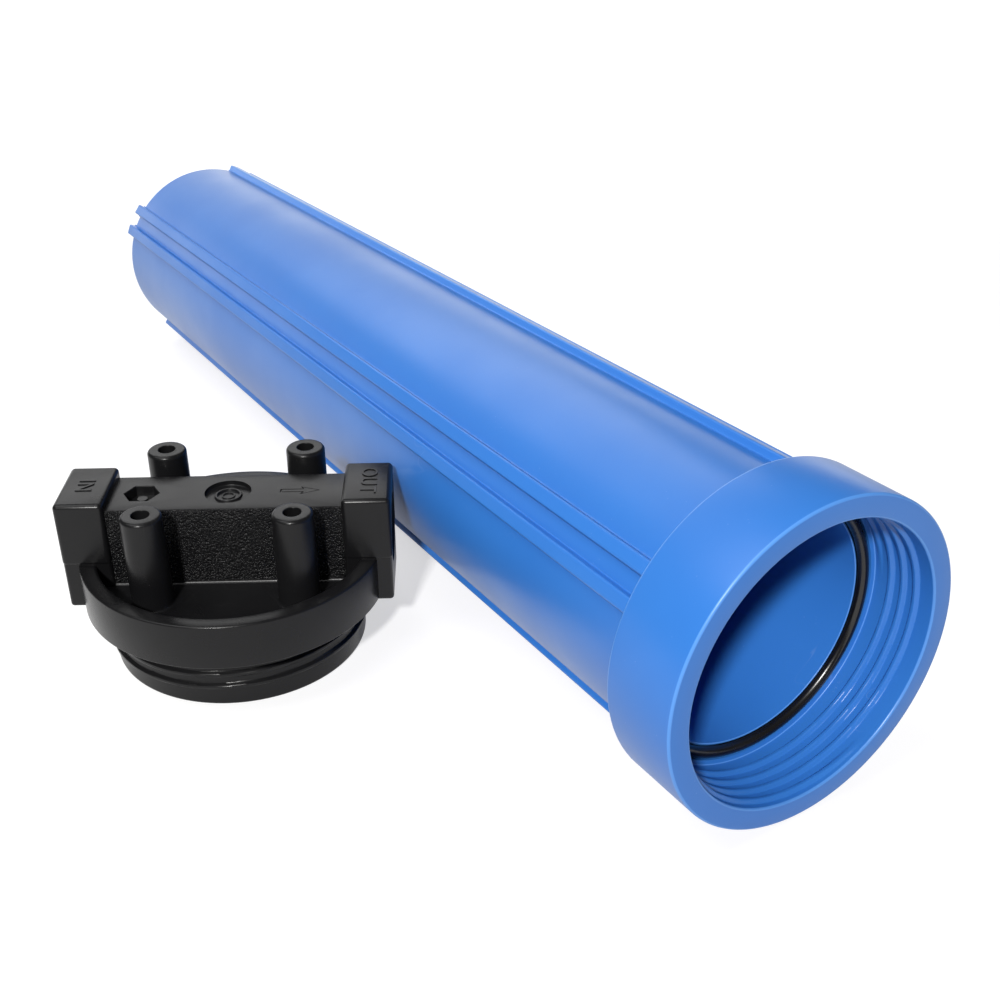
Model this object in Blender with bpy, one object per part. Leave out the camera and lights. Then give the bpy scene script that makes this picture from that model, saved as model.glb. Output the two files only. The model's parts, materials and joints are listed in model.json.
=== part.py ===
# Slim water filter housing, opened: a ribbed sump lying on its side, its seal ring, and the head
# standing on its neck beside it. Metres, +Z up, standing on z = 0.
# The sump's mouth faces -Y. Each piece is modelled about its own axis and then laid in place.

from math import atan2, cos, pi, radians, sin, tau

import bmesh
import bpy
from mathutils import Matrix, Vector

# Driving dimensions
ROUND_SIDES = 48
FINE_SIDES = 20
SEAL_SIDES = 8

SUMP_LENGTH = 0.513
COLLAR_RADIUS = 0.0590
COLLAR_LENGTH = 0.0303
BODY_RADIUS_AT_COLLAR = 0.0505
BODY_RADIUS_AT_END = 0.0490
MOUTH_RADIUS = 0.0509
BORE_RADIUS_AT_MOUTH = 0.0440
BORE_RADIUS_AT_END = 0.0432
BORE_END_ROUND = 0.0060
END_THICKNESS = 0.0065
END_RECESS_RADIUS = 0.0352
END_RECESS_DEPTH = 0.0012
SEAT_DEPTH = 0.0296
SEAT_LIP = 0.0016
RIM_EDGE = 0.0010
COLLAR_FILLET = 0.0015

# The ring inside the closed end that centres a cartridge
CENTRING_RADIUS = 0.0170
CENTRING_WALL = 0.0025
CENTRING_HEIGHT = 0.0100
CENTRING_DRAFT = 0.0015

RIB_PAIRS = 4
RIB_PAIR_ANGLE = 31.0
RIB_HALF_SPACING = 7.0
RIB_HEIGHT = 0.0032
RIB_WIDTH = 0.0055
RIB_SHOULDER = 0.0009
RIB_ROOT = 0.0015
RIB_INTO_COLLAR = 0.0020
RIB_CLEAR_OF_END = 0.0004

THREAD_PITCH = 0.0053
THREAD_HEIGHT = 0.0013
THREAD_RUN_IN = 0.12
SUMP_THREAD_TURNS = 3.6
SUMP_THREAD_START = (-0.0036, radians(272))
HEAD_THREAD_TURNS = 2.3
HEAD_THREAD_START = (0.0190, radians(229))

SEAL_RADIUS = 0.0469
SEAL_SECTION_RADIUS = 0.0021
TOUCHING_GAP = 0.0003

PORT_TO_PORT = 0.1240
PORT_BLOCK_WIDTH = 0.0183
PORT_BLOCK_DEPTH = 0.0310
PORT_BLOCK_TOP = 0.0667
PORT_BLOCK_BOTTOM = 0.0222
PORT_AXIS_HEIGHT = 0.0465
PORT_BORE_RADIUS = 0.0126
PORT_BORE_DEPTH = 0.0190
PORT_EDGE = 0.0018
PASSAGE_RADIUS = 0.0085

BAR_DEPTH = 0.0274
BAR_TOP = 0.0630
BAR_EDGE = 0.0010
BAR_INTO_BLOCK = 0.0040
BAR_INTO_FLOOR = 0.0020
FLANGE_RADIUS = 0.0580
FLANGE_TOP = 0.0410
FLANGE_BOTTOM = 0.0230
DISH_RADIUS = 0.0516
DISH_FLOOR = 0.0310
DISH_FILLET = 0.0020
DISH_EDGE = 0.0014
FLANGE_EDGE = 0.0008
NECK_RADIUS = 0.0489
HOLLOW_RADIUS = 0.0430
HOLLOW_CEILING = 0.0255
STANDPIPE_RADIUS = 0.0165
STANDPIPE_BORE_RADIUS = 0.0080
STANDPIPE_END = 0.0090
STANDPIPE_EDGE = 0.0020
STANDPIPE_FUNNEL = 0.0015
DROP_HOLE_RADIUS = 0.0065
DROP_HOLE_OFFSET = 0.0300

BOSS_SPACING_ALONG = 0.0544
BOSS_SPACING_ACROSS = 0.0516
BOSS_RADIUS = 0.0078
BOSS_TOP = 0.0684
BOSS_EDGE = 0.0015
BOSS_HOLE_RADIUS = 0.0033
BOSS_HOLE_DEPTH = 0.0180

HEX_OFFSET = 0.0325
HEX_RADIUS = 0.0066
HEX_DEPTH = 0.0040

# How far a cutter runs past the face it starts from, and into the next cutter
CUT_ABOVE = 0.0050
CUT_OVERLAP = 0.0010

# Where the head stands, from the sump's axis and from the plane of its mouth
HEAD_ASIDE = 0.1135
HEAD_BEHIND_MOUTH = 0.1975
HEAD_TURN = radians(-30.0)

# The sump lies on the back edge of its collar and on the edge of its closed end
END_EDGE = 0.0030
COLLAR_EDGE = 0.0012
SUMP_TILT = atan2(
    COLLAR_RADIUS - BODY_RADIUS_AT_END, SUMP_LENGTH - END_EDGE - (COLLAR_LENGTH - COLLAR_EDGE)
)
MOUTH_HEIGHT = COLLAR_RADIUS * cos(SUMP_TILT) + (COLLAR_LENGTH - COLLAR_EDGE) * sin(SUMP_TILT)

BLUE = (0.055, 0.205, 0.720)
BLACK = (0.018, 0.018, 0.020)
RUBBER_BLACK = (0.010, 0.010, 0.010)


def clear_scene():
    for thing in list(bpy.data.objects):
        bpy.data.objects.remove(thing)


def plastic(name, colour, roughness):
    material = bpy.data.materials.new(name)
    material.use_nodes = True
    shader = material.node_tree.nodes["Principled BSDF"]
    shader.inputs["Base Color"].default_value = (*colour, 1.0)
    shader.inputs["Roughness"].default_value = roughness
    shader.inputs["Metallic"].default_value = 0.0
    return material


def as_object(name, mesh_data, material=None):
    mesh = bpy.data.meshes.new(name)
    bmesh.ops.recalc_face_normals(mesh_data, faces=mesh_data.faces)
    mesh_data.to_mesh(mesh)
    mesh_data.free()
    mesh.shade_smooth()
    mesh.set_sharp_from_angle(angle=radians(35))
    if material:
        mesh.materials.append(material)
    thing = bpy.data.objects.new(name, mesh)
    bpy.context.scene.collection.objects.link(thing)
    return thing


def as_tool(thing):
    # A shape that only adds to or cuts another one
    thing.hide_render = True
    thing.display_type = "WIRE"
    return thing


def combine(target, tool, operation):
    modifier = target.modifiers.new(tool.name, "BOOLEAN")
    modifier.operation = operation
    modifier.solver = "EXACT"
    modifier.object = as_tool(tool)


def round_edges(thing, width, segments=2):
    modifier = thing.modifiers.new("rounded_edges", "BEVEL")
    modifier.width = width
    modifier.segments = segments
    modifier.limit_method = "ANGLE"


def turned(rings, sides=ROUND_SIDES):
    # A solid of revolution about Z: each ring is its height and its radius, or a radius for each angle
    shape = bmesh.new()
    loops = []
    for height, radius in rings:
        loop = []
        for step in range(sides):
            angle = tau * step / sides
            reach = radius(angle) if callable(radius) else radius
            loop.append(shape.verts.new((reach * cos(angle), reach * sin(angle), height)))
        loops.append(loop)
    for lower, upper in zip(loops, loops[1:]):
        for step in range(sides):
            after = (step + 1) % sides
            shape.faces.new((lower[step], lower[after], upper[after], upper[step]))
    shape.faces.new(loops[0])
    shape.faces.new(loops[-1])
    return shape


def ease(value):
    value = min(max(value, 0.0), 1.0)
    return value * value * (3.0 - 2.0 * value)


def ridge_height(distance_along, angle, turns):
    # Height, 0 to 1, of a round right-handed ridge, a distance down the axis and an angle from its start
    fraction = (-angle / tau) % 1.0
    turn = round(distance_along / THREAD_PITCH - fraction)
    progress = turn + fraction
    offset = distance_along / THREAD_PITCH - progress
    fade = ease((progress + THREAD_RUN_IN) / THREAD_RUN_IN) * ease((turns - progress) / THREAD_RUN_IN)
    return fade * (0.5 + 0.5 * cos(tau * offset)) ** 2


def thread_rings(start, root_radius, height, turns, rows_per_turn=5):
    start_height, start_angle = start
    rows = round((turns + 1.0) * rows_per_turn)
    rings = []
    for row in range(rows + 1):
        distance = (row / rows_per_turn - 0.5) * THREAD_PITCH

        def radius(angle, distance=distance):
            return root_radius + height * ridge_height(distance, angle - start_angle, turns)

        rings.append((start_height - distance, radius))
    return rings


def sump_rings():
    # From the closed end up the outside, over the mouth's rim and down the inside
    back = -COLLAR_LENGTH
    end = -SUMP_LENGTH
    outside = [
        (end + END_RECESS_DEPTH, END_RECESS_RADIUS - END_RECESS_DEPTH),
        (end, END_RECESS_RADIUS),
        (end, BODY_RADIUS_AT_END - END_EDGE),
        (end + 0.3 * END_EDGE, BODY_RADIUS_AT_END - 0.3 * END_EDGE),
        (end + END_EDGE, BODY_RADIUS_AT_END),
        (back - COLLAR_FILLET, BODY_RADIUS_AT_COLLAR),
        (back, BODY_RADIUS_AT_COLLAR + COLLAR_FILLET),
        (back, COLLAR_RADIUS - COLLAR_EDGE),
        (back + COLLAR_EDGE, COLLAR_RADIUS),
        (-RIM_EDGE, COLLAR_RADIUS),
        (0.0, COLLAR_RADIUS - RIM_EDGE),
        (0.0, MOUTH_RADIUS + RIM_EDGE),
        (-0.8 * RIM_EDGE, MOUTH_RADIUS),
    ]
    thread = thread_rings(SUMP_THREAD_START, MOUTH_RADIUS, -THREAD_HEIGHT, SUMP_THREAD_TURNS)
    groove_outer = SEAL_RADIUS + SEAL_SECTION_RADIUS + TOUCHING_GAP
    groove_inner = SEAL_RADIUS - SEAL_SECTION_RADIUS - TOUCHING_GAP
    lip = -SEAT_DEPTH + SEAT_LIP
    floor = end + END_THICKNESS
    inside = [
        (-SEAT_DEPTH + 2 * SEAL_SECTION_RADIUS, groove_outer),
        (-SEAT_DEPTH, groove_outer),
        (-SEAT_DEPTH, groove_inner),
        (lip, groove_inner),
        (lip, BORE_RADIUS_AT_MOUTH),
        (floor + BORE_END_ROUND, BORE_RADIUS_AT_END),
        (floor + 0.3 * BORE_END_ROUND, BORE_RADIUS_AT_END - 0.3 * BORE_END_ROUND),
        (floor, BORE_RADIUS_AT_END - BORE_END_ROUND),
        (floor, CENTRING_RADIUS + CENTRING_DRAFT),
        (floor + CENTRING_HEIGHT, CENTRING_RADIUS),
        (floor + CENTRING_HEIGHT, CENTRING_RADIUS - CENTRING_WALL),
        (floor, CENTRING_RADIUS - CENTRING_WALL - CENTRING_DRAFT),
    ]
    return outside + thread + inside


def rib_set():
    # Eight long ribs in four pairs, with rounded shoulders, that taper with the body
    shape = bmesh.new()
    middle = RIB_WIDTH / 2 - RIB_SHOULDER
    arch = [
        (side * middle + RIB_SHOULDER * cos(turn), RIB_SHOULDER * sin(turn))
        for side, first in ((1, 0.0), (-1, pi / 2))
        for turn in [first + pi / 2 * step / 3 for step in range(4)]
    ]
    root = RIB_SHOULDER - RIB_HEIGHT - RIB_ROOT
    outline = [(RIB_WIDTH / 2, root)] + arch + [(-RIB_WIDTH / 2, root)]
    stretch = (
        (-SUMP_LENGTH + RIB_CLEAR_OF_END, BODY_RADIUS_AT_END),
        (-COLLAR_LENGTH + RIB_INTO_COLLAR, BODY_RADIUS_AT_COLLAR),
    )
    for pair in range(RIB_PAIRS):
        for side in (-1, 1):
            angle = radians(RIB_PAIR_ANGLE + 360 / RIB_PAIRS * pair + side * RIB_HALF_SPACING)
            outward = Vector((-cos(angle), sin(angle), 0.0))
            across = Vector((sin(angle), cos(angle), 0.0))
            loops = []
            for height, body_radius in stretch:
                crest = body_radius + RIB_HEIGHT - RIB_SHOULDER
                loops.append([
                    shape.verts.new(outward * (crest + up) + across * wide + Vector((0, 0, height)))
                    for wide, up in outline
                ])
            near, far = loops
            for step in range(len(outline)):
                after = (step + 1) % len(outline)
                shape.faces.new((near[step], near[after], far[after], far[step]))
            shape.faces.new(near)
            shape.faces.new(far)
    return shape


def sump(material):
    body = as_object("sump", turned(sump_rings()), material)
    combine(body, as_object("sump_ribs_shape", rib_set()), "UNION")
    return body


def o_ring(material):
    shape = bmesh.new()
    loops = []
    for step in range(ROUND_SIDES):
        angle = tau * step / ROUND_SIDES
        loop = []
        for part in range(SEAL_SIDES):
            turn = tau * part / SEAL_SIDES
            reach = SEAL_RADIUS + SEAL_SECTION_RADIUS * cos(turn)
            rise = SEAL_SECTION_RADIUS * sin(turn)
            loop.append(shape.verts.new((reach * cos(angle), reach * sin(angle), rise)))
        loops.append(loop)
    for step in range(ROUND_SIDES):
        here, there = loops[step], loops[(step + 1) % ROUND_SIDES]
        for part in range(SEAL_SIDES):
            after = (part + 1) % SEAL_SIDES
            shape.faces.new((here[part], there[part], there[after], here[after]))
    ring = as_object("o_ring", shape, material)
    ring.location.z = -SEAT_DEPTH + SEAL_SECTION_RADIUS + TOUCHING_GAP
    return ring


def head_rings():
    # From the dish down the outside of the flange and the neck, then up into the hollow underneath
    outside = [
        (DISH_FLOOR, DISH_RADIUS - DISH_FILLET),
        (DISH_FLOOR + DISH_FILLET, DISH_RADIUS),
        (FLANGE_TOP - DISH_EDGE, DISH_RADIUS),
        (FLANGE_TOP, DISH_RADIUS + DISH_EDGE),
        (FLANGE_TOP, FLANGE_RADIUS - FLANGE_EDGE),
        (FLANGE_TOP - FLANGE_EDGE, FLANGE_RADIUS),
        (FLANGE_BOTTOM, FLANGE_RADIUS),
        (FLANGE_BOTTOM, NECK_RADIUS),
    ]
    thread = thread_rings(HEAD_THREAD_START, NECK_RADIUS, THREAD_HEIGHT, HEAD_THREAD_TURNS)
    inside = [
        (RIM_EDGE, NECK_RADIUS),
        (0.0, NECK_RADIUS - RIM_EDGE),
        (0.0, HOLLOW_RADIUS + RIM_EDGE),
        (RIM_EDGE, HOLLOW_RADIUS),
        (HOLLOW_CEILING, HOLLOW_RADIUS),
        (HOLLOW_CEILING, STANDPIPE_RADIUS),
        (STANDPIPE_END + STANDPIPE_EDGE, STANDPIPE_RADIUS),
        (STANDPIPE_END, STANDPIPE_RADIUS - STANDPIPE_EDGE),
        (STANDPIPE_END, STANDPIPE_BORE_RADIUS + 2 * STANDPIPE_FUNNEL),
        (STANDPIPE_END + 4 * STANDPIPE_FUNNEL, STANDPIPE_BORE_RADIUS + STANDPIPE_FUNNEL),
    ]
    return outside + thread + inside


def block(name, low, high):
    shape = bmesh.new()
    bmesh.ops.create_cube(shape, size=1.0)
    low, high = Vector(low), Vector(high)
    size = high - low
    bmesh.ops.scale(shape, vec=size, verts=shape.verts)
    bmesh.ops.translate(shape, vec=(low + high) / 2, verts=shape.verts)
    return as_object(name, shape)


def drilled(name, holes, sides=FINE_SIDES):
    # Straight round cutters, each from one end to the other with its own radius
    shape = bmesh.new()
    for start, end, radius in holes:
        start, end = Vector(start), Vector(end)
        turn = Vector((0, 0, 1)).rotation_difference(end - start).to_matrix().to_4x4()
        place = Matrix.Translation((start + end) / 2) @ turn
        bmesh.ops.create_cone(
            shape, cap_ends=True, segments=sides, radius1=radius, radius2=radius,
            depth=(end - start).length, matrix=place,
        )
    return as_object(name, shape)


def boss_places():
    along, across = BOSS_SPACING_ALONG / 2, BOSS_SPACING_ACROSS / 2
    return [(side * along, front * across) for side in (-1, 1) for front in (-1, 1)]


def boss_set():
    rings = [
        (DISH_FLOOR - BAR_INTO_FLOOR, BOSS_RADIUS),
        (BOSS_TOP - BOSS_EDGE, BOSS_RADIUS),
        (BOSS_TOP - 0.3 * BOSS_EDGE, BOSS_RADIUS - 0.3 * BOSS_EDGE),
        (BOSS_TOP, BOSS_RADIUS - BOSS_EDGE),
    ]
    joined = bmesh.new()
    for x, y in boss_places():
        single = turned(rings, FINE_SIDES)
        bmesh.ops.translate(single, vec=(x, y, 0), verts=single.verts)
        mesh = bpy.data.meshes.new("boss")
        single.to_mesh(mesh)
        single.free()
        joined.from_mesh(mesh)
        bpy.data.meshes.remove(mesh)
    return joined


def head(material):
    half, reach = PORT_TO_PORT / 2, PORT_TO_PORT / 2 - PORT_BLOCK_WIDTH
    depth = PORT_BLOCK_DEPTH / 2
    body = as_object("head", turned(head_rings()), material)

    end = reach + BAR_INTO_BLOCK
    bar = block(
        "bar_shape", (-end, -BAR_DEPTH / 2, DISH_FLOOR - BAR_INTO_FLOOR), (end, BAR_DEPTH / 2, BAR_TOP)
    )
    round_edges(bar, BAR_EDGE, 1)
    combine(body, bar, "UNION")
    for side, label in ((-1, "in"), (1, "out")):
        ends = sorted((side * half, side * reach))
        port = block(
            f"{label}_port_shape", (ends[0], -depth, PORT_BLOCK_BOTTOM), (ends[1], depth, PORT_BLOCK_TOP)
        )
        round_edges(port, PORT_EDGE)
        combine(body, port, "UNION")
    combine(body, as_object("boss_shape", boss_set()), "UNION")

    middle = PORT_AXIS_HEIGHT
    mouth = half + CUT_ABOVE
    bore_end = half - PORT_BORE_DEPTH
    inner = bore_end + CUT_OVERLAP
    drop = -DROP_HOLE_OFFSET
    top = middle + CUT_OVERLAP
    combine(body, drilled("port_bores", [
        ((side * mouth, 0, middle), (side * bore_end, 0, middle), PORT_BORE_RADIUS) for side in (-1, 1)
    ], ROUND_SIDES // 2), "DIFFERENCE")
    combine(body, drilled("passages", [
        ((-inner, 0, middle), (drop + CUT_OVERLAP, 0, middle), PASSAGE_RADIUS),
        ((inner, 0, middle), (-CUT_OVERLAP, 0, middle), PASSAGE_RADIUS),
    ]), "DIFFERENCE")
    combine(body, drilled("drop_holes", [
        ((drop, 0, top), (drop, 0, HOLLOW_CEILING - CUT_ABOVE), DROP_HOLE_RADIUS),
        ((0, 0, top), (0, 0, STANDPIPE_END - CUT_ABOVE), STANDPIPE_BORE_RADIUS),
    ]), "DIFFERENCE")
    combine(body, drilled("boss_holes", [
        ((x, y, BOSS_TOP + CUT_ABOVE), (x, y, BOSS_TOP - BOSS_HOLE_DEPTH), BOSS_HOLE_RADIUS)
        for x, y in boss_places()
    ], 12), "DIFFERENCE")
    combine(body, drilled("hex_recess", [
        ((-HEX_OFFSET, 0, BAR_TOP + CUT_ABOVE), (-HEX_OFFSET, 0, BAR_TOP - HEX_DEPTH), HEX_RADIUS)
    ], 6), "DIFFERENCE")
    return body


def tools_of(piece):
    return [modifier.object for modifier in piece.modifiers]


def lowest_and_highest(things):
    bpy.context.view_layer.update()
    graph = bpy.context.evaluated_depsgraph_get()
    corners = []
    for thing in things:
        seen = thing.evaluated_get(graph)
        corners += [seen.matrix_world @ vertex.co for vertex in seen.data.vertices]
    low = Vector([min(corner[axis] for corner in corners) for axis in range(3)])
    high = Vector([max(corner[axis] for corner in corners) for axis in range(3)])
    return low, high


def pivot(name, location, rotation):
    holder = bpy.data.objects.new(name, None)
    holder.location = location
    holder.rotation_euler = rotation
    bpy.context.scene.collection.objects.link(holder)
    return holder


def main():
    clear_scene()
    sump_piece = sump(plastic("blue_polypropylene", BLUE, 0.38))
    seal_piece = o_ring(plastic("black_rubber", RUBBER_BLACK, 0.30))
    head_piece = head(plastic("black_polypropylene", BLACK, 0.50))

    # The sump's own +Z leaves its mouth: laid down it points to -Y and a little up
    axis = pivot("sump_axis", (0, 0, MOUTH_HEIGHT), (pi / 2 - SUMP_TILT, 0, 0))
    stand = pivot("head_stand", (-HEAD_ASIDE, HEAD_BEHIND_MOUTH, 0), (0, 0, HEAD_TURN))
    for thing in (sump_piece, seal_piece, *tools_of(sump_piece)):
        thing.parent = axis
    for thing in (head_piece, *tools_of(head_piece)):
        thing.parent = stand

    low, high = lowest_and_highest([sump_piece, seal_piece, head_piece])
    shift = Vector((-(low.x + high.x) / 2, -(low.y + high.y) / 2, -low.z))
    for holder in (axis, stand):
        holder.location += shift


main()
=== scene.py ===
import json
from math import cos, pi, radians, sin, tan, tau

import bmesh
import bpy
from mathutils import Matrix, Vector


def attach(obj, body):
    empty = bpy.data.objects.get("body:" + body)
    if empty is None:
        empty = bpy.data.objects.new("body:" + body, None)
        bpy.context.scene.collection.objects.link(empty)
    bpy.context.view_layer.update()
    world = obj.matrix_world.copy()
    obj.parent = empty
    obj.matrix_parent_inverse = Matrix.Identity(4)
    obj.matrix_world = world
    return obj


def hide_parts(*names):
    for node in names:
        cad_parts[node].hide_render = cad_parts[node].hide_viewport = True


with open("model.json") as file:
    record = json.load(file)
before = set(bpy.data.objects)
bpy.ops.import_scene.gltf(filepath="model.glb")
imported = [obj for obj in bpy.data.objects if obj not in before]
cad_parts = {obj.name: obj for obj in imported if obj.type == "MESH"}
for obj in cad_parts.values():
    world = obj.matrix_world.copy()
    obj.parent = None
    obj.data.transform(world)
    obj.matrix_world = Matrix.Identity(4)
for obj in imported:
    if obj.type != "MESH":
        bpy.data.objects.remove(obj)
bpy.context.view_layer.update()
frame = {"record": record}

upright = Vector((0, 0, 1))


def addNode(tree, kind, values=None, **settings):
    # a node with its settings and its inputs, each a value or another node's output
    node = tree.nodes.new(kind)
    for key, value in settings.items():
        setattr(node, key, value)
    for key, value in (values or {}).items():
        if isinstance(value, bpy.types.NodeSocket):
            tree.links.new(value, node.inputs[key])
        else:
            node.inputs[key].default_value = value
    return node


def mathNode(tree, operation, *values):
    return addNode(tree, "ShaderNodeMath", dict(enumerate(values)), operation=operation).outputs[0]


def easeNode(tree, value, fromLow, fromHigh, toLow=0.0, toHigh=1.0):
    ranges = {"Value": value, "From Min": fromLow, "From Max": fromHigh, "To Min": toLow, "To Max": toHigh}
    return addNode(tree, "ShaderNodeMapRange", ranges, interpolation_type="SMOOTHSTEP").outputs[0]


def toMesh(thing):
    # the evaluated shape as a plain mesh object, with the live one removed
    bpy.context.view_layer.update()
    evaluated = thing.evaluated_get(bpy.context.evaluated_depsgraph_get())
    mesh = bpy.data.meshes.new_from_object(evaluated)
    name = thing.name
    bpy.data.objects.remove(thing)
    piece = bpy.data.objects.new(name, mesh)
    bpy.context.scene.collection.objects.link(piece)
    return piece


def fromBmesh(name, shape):
    bmesh.ops.remove_doubles(shape, verts=shape.verts, dist=0.000005)
    bmesh.ops.recalc_face_normals(shape, faces=shape.faces)
    mesh = bpy.data.meshes.new(name)
    shape.to_mesh(mesh)
    shape.free()
    piece = bpy.data.objects.new(name, mesh)
    bpy.context.scene.collection.objects.link(piece)
    return piece


def combine(target, tool, operation):
    modifier = target.modifiers.new("combine", "BOOLEAN")
    modifier.operation = operation
    modifier.solver = "EXACT"
    modifier.object = tool
    name = target.name
    joined = toMesh(target)
    joined.name = name
    bpy.data.objects.remove(tool)
    return joined


def finishPiece(piece, place, material, sharpAngle=32):
    # shading, place in the mesh, and the material
    mesh = piece.data
    mesh.transform(place)
    mesh.shade_smooth()
    mesh.set_sharp_from_angle(angle=radians(sharpAngle))
    mesh.materials.clear()
    mesh.materials.append(material)
    piece.matrix_world = Matrix.Identity(4)
    return piece


def mountPlace(name):
    mount = next(mount for mount in frame["record"]["mounts"] if mount["name"] == name)
    return Vector(mount["pos_m"]), Vector(mount["axis"])


def placeOf(centre, along, across, outward):
    return Matrix.Translation(centre) @ Matrix((along, across, outward)).transposed().to_4x4()


# the sump's own +Z leaves its mouth and its +Y is up; the head's own +X runs to the outlet
rimMountRadius = 0.055
rimPoint, mouthAxis = mountPlace("mouth_rim")
mouthUp = mouthAxis.cross(Vector((1, 0, 0)))
sumpPlace = placeOf(rimPoint - mouthUp * rimMountRadius, Vector((1, 0, 0)), mouthUp, mouthAxis)

inletPoint, inletAxis = mountPlace("in_port_face")
outletPoint, outletAxis = mountPlace("out_port_face")
headCentre = (inletPoint + outletPoint) / 2
headCentre.z = 0.0
headPlace = placeOf(headCentre, outletAxis, upright.cross(outletAxis), upright)


cameraView = {
    "position": (-0.1951, -0.4720, 0.2991),
    "turn": (pi / 2 - 0.515, 0.0, -0.564),
    "lens": 46.0,
}

cameraData = bpy.data.cameras.new("camera")
cameraData.lens = cameraView["lens"]
cameraData.sensor_width = 36.0
cameraData.clip_start = 0.01
camera = bpy.data.objects.new("camera", cameraData)
camera.location = cameraView["position"]
camera.rotation_euler = cameraView["turn"]
bpy.context.scene.collection.objects.link(camera)
bpy.context.scene.camera = camera


def roundedProfile(corners, segments=5):
    # corners are (height, radius, rounding); each rounding becomes an arc between its two sides
    points = []
    for index, (height, radius, rounding) in enumerate(corners):
        here = Vector((height, radius))
        if rounding <= 0 or index in (0, len(corners) - 1):
            points.append((height, radius, 0.0))
            continue
        back = (Vector(corners[index - 1][:2]) - here).normalized()
        ahead = (Vector(corners[index + 1][:2]) - here).normalized()
        half = back.angle(ahead) / 2
        reach = rounding / tan(half)
        centre = here + (back + ahead).normalized() * (rounding / sin(half))
        first = here + back * reach - centre
        last = here + ahead * reach - centre
        sweep = first.angle_signed(last)
        for step in range(segments + 1):
            spoke = first.copy()
            spoke.rotate(Matrix.Rotation(-sweep * step / segments, 2))
            points.append((*(centre + spoke), 1.0 if 0 < step < segments else 0.0))
    return points


def finerBand(points, wall, top, bottom, step):
    # extra rows between two heights on the straight wall of that radius, which carries a thread
    result = []
    for here, there in zip(points, points[1:]):
        result.append(here)
        low, high = min(here[0], there[0]), max(here[0], there[0])
        onWall = max(abs(here[1] - wall), abs(there[1] - wall)) < 0.0006
        if high - low > 2 * step and low < top and high > bottom and onWall:
            count = int((high - low) / step)
            for part in range(1, count):
                share = part / count
                height = here[0] + (there[0] - here[0]) * share
                radius = here[1] + (there[1] - here[1]) * share
                result.append((height, radius, 2.0))
    result.append(points[-1])
    return result


def turned(name, points, sides):
    # a closed shape about Z; a third value of 2 marks rows that carry a thread, 1 an edge
    shape = bmesh.new()
    band = shape.verts.layers.float.new("threadBand")
    edge = shape.verts.layers.float.new("edgeRow")
    loops = []
    for height, radius, kind in points:
        loop = []
        for step in range(sides):
            angle = tau * step / sides
            vertex = shape.verts.new((radius * cos(angle), radius * sin(angle), height))
            vertex[band] = 1.0 if kind == 2.0 else 0.0
            vertex[edge] = 1.0 if kind == 1.0 else 0.0
            loop.append(vertex)
        loops.append(loop)
    for lower, upper in zip(loops, loops[1:]):
        for step in range(sides):
            after = (step + 1) % sides
            shape.faces.new((lower[step], lower[after], upper[after], upper[step]))
    for loop, point in ((loops[0], points[0]), (loops[-1], points[-1])):
        centre = shape.verts.new((0, 0, point[0]))
        for step in range(sides):
            shape.faces.new((centre, loop[step], loop[(step + 1) % sides]))
    return fromBmesh(name, shape)


def newTree(name, inputs):
    tree = bpy.data.node_groups.new(name, "GeometryNodeTree")
    tree.interface.new_socket("Geometry", in_out="INPUT", socket_type="NodeSocketGeometry")
    for label, kind, value in inputs:
        socket = tree.interface.new_socket(label, in_out="INPUT", socket_type="NodeSocket" + kind)
        if value is not None:
            socket.default_value = value
    tree.interface.new_socket("Geometry", in_out="OUTPUT", socket_type="NodeSocketGeometry")
    return tree, addNode(tree, "NodeGroupInput").outputs


def closeTree(tree, geometry, material):
    realized = addNode(tree, "GeometryNodeRealizeInstances", {"Geometry": geometry}).outputs[0]
    painted = addNode(tree, "GeometryNodeSetMaterial", {"Geometry": realized, "Material": material})
    addNode(tree, "NodeGroupOutput", {"Geometry": painted.outputs[0]})


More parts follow.
